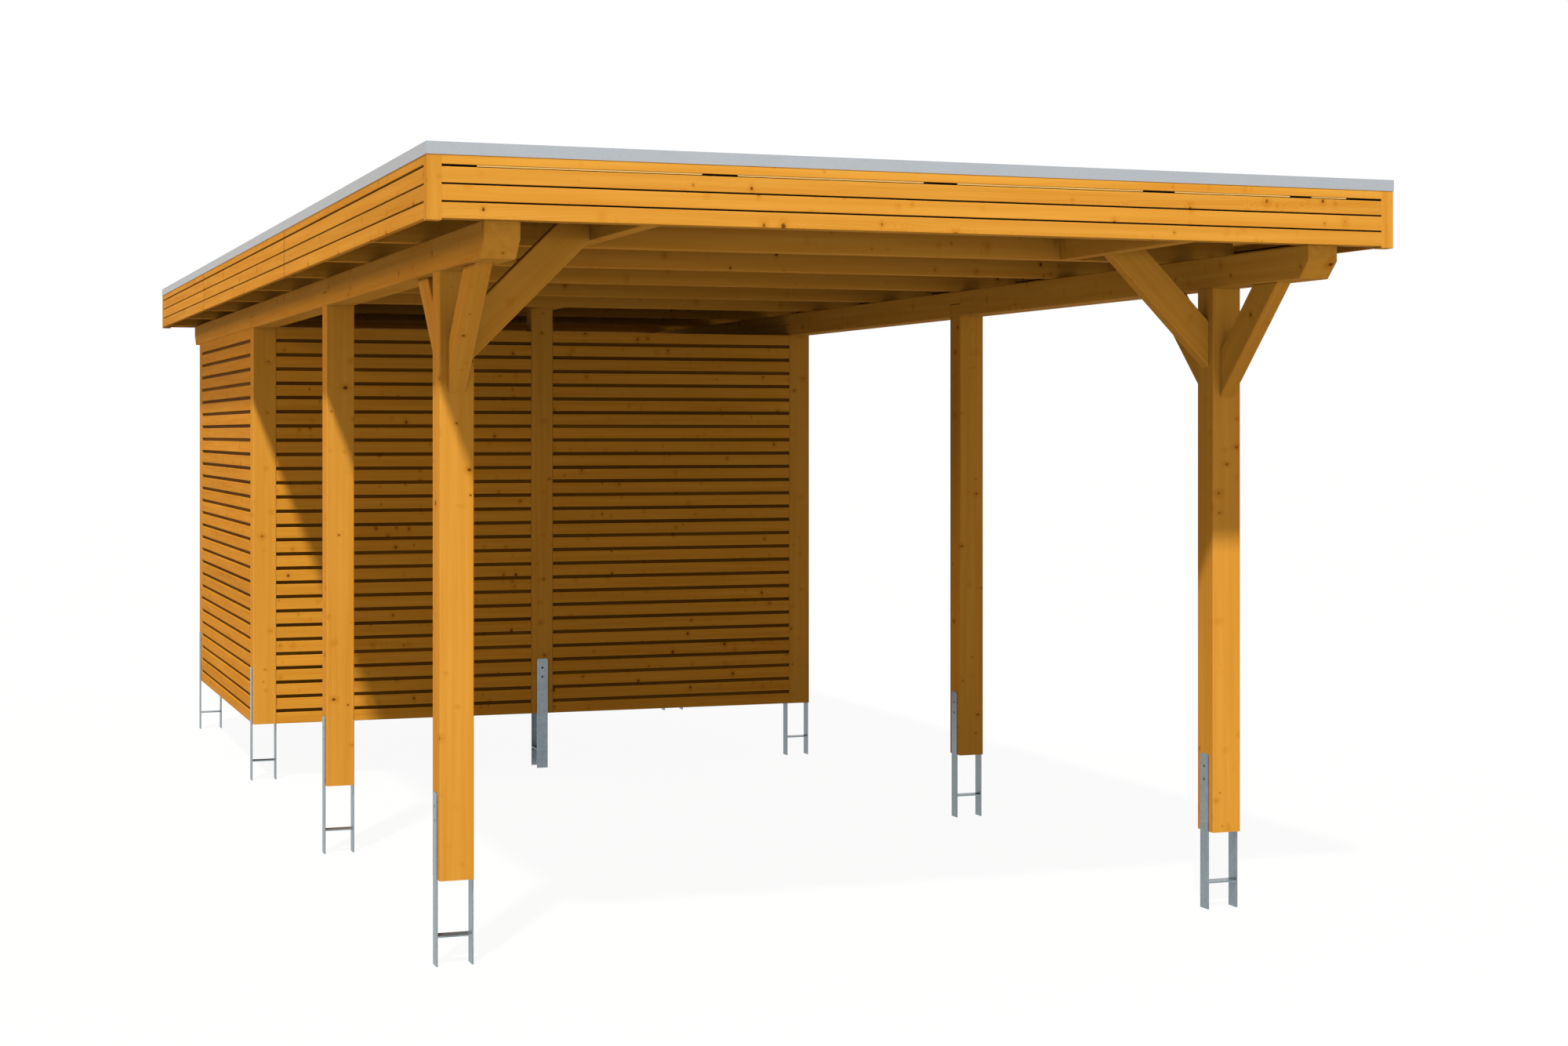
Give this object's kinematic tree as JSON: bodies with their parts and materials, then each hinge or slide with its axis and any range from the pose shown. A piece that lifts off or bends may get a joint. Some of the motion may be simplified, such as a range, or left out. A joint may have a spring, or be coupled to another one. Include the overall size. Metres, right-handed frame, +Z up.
{
  "type": "carport",
  "caption": "Timber carport with a flat roof on square posts in steel anchors, with braces at the front and a boarded store room at the rear.",
  "frame": {"origin": "under the middle of the roof's plan, level with the lower ends of the post anchors", "axes": "+Z up, +Y from the open front to the store room at the rear, +X to the right seen from the front"},
  "size_m": [3.529, 8.4, 2.755],
  "materials": {
    "frame_timber": "stained",
    "wall_boards": "stained",
    "fascia_boards": "stained",
    "anchor_steel": "galvanised",
    "edge_trim": "mill",
    "roofing": "matte"
  },
  "bodies": {
    "root": {"front_left_post": "frame_timber", "front_right_post": "frame_timber", "second_left_post": "frame_timber", "second_right_post": "frame_timber", "store_front_left_post": "frame_timber", "store_front_right_post": "frame_timber", "store_front_middle_post": "frame_timber", "store_rear_left_post": "frame_timber", "store_rear_right_post": "frame_timber", "store_rear_middle_post": "frame_timber", "front_anchors": "anchor_steel", "second_anchors": "anchor_steel", "store_front_anchors": "anchor_steel", "store_rear_anchors": "anchor_steel", "left_front_purlin": "frame_timber", "left_middle_purlin": "frame_timber", "left_rear_purlin": "frame_timber", "right_front_purlin": "frame_timber", "right_middle_purlin": "frame_timber", "right_rear_purlin": "frame_timber", "left_braces": "frame_timber", "right_braces": "frame_timber", "rafters": "frame_timber", "brace_blockings": "frame_timber", "post_blockings": "frame_timber", "store_front_left_wall": "wall_boards", "store_front_right_wall": "wall_boards", "store_left_wall": "wall_boards", "store_right_wall": "wall_boards", "store_rear_left_wall": "wall_boards", "store_rear_right_wall": "wall_boards", "front_fascia": "fascia_boards", "rear_fascia": "fascia_boards", "left_fascia": "fascia_boards", "right_fascia": "fascia_boards", "corner_battens": "fascia_boards", "fascia_battens": "fascia_boards", "roof_deck": "frame_timber", "roof_sheet": "roofing", "front_trim": "edge_trim", "rear_trim": "edge_trim", "left_trim": "edge_trim", "right_trim": "edge_trim"}
  },
  "joints": []
}
